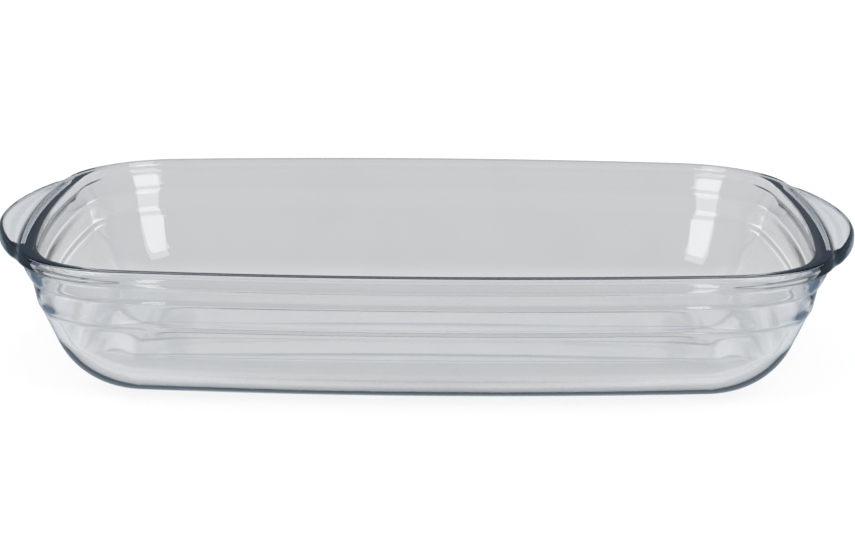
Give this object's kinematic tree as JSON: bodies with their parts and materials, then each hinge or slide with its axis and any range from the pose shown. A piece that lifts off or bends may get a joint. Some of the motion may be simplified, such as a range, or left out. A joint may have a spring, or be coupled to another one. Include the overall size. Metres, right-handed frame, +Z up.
{
  "type": "roasting dish",
  "caption": "Rectangular pressed-glass roasting dish with bowed sides, round corners, stepped sloping walls, a rounded rim and a crescent grip at each end.",
  "frame": {"origin": "middle of the foot's plane, on the table, midway between the grips and midway between the long sides", "axes": "+X along the length towards the right grip, -Y towards the front long side, +Z up out of the bowl"},
  "size_m": [0.4, 0.265, 0.0645],
  "materials": {
    "glass": "fire-polished clear pressed glass with a faint blue-grey tint"
  },
  "bodies": {
    "root": {"base": "glass", "side_wall": "glass", "rim": "glass", "left_grip": "glass", "right_grip": "glass"}
  },
  "joints": []
}
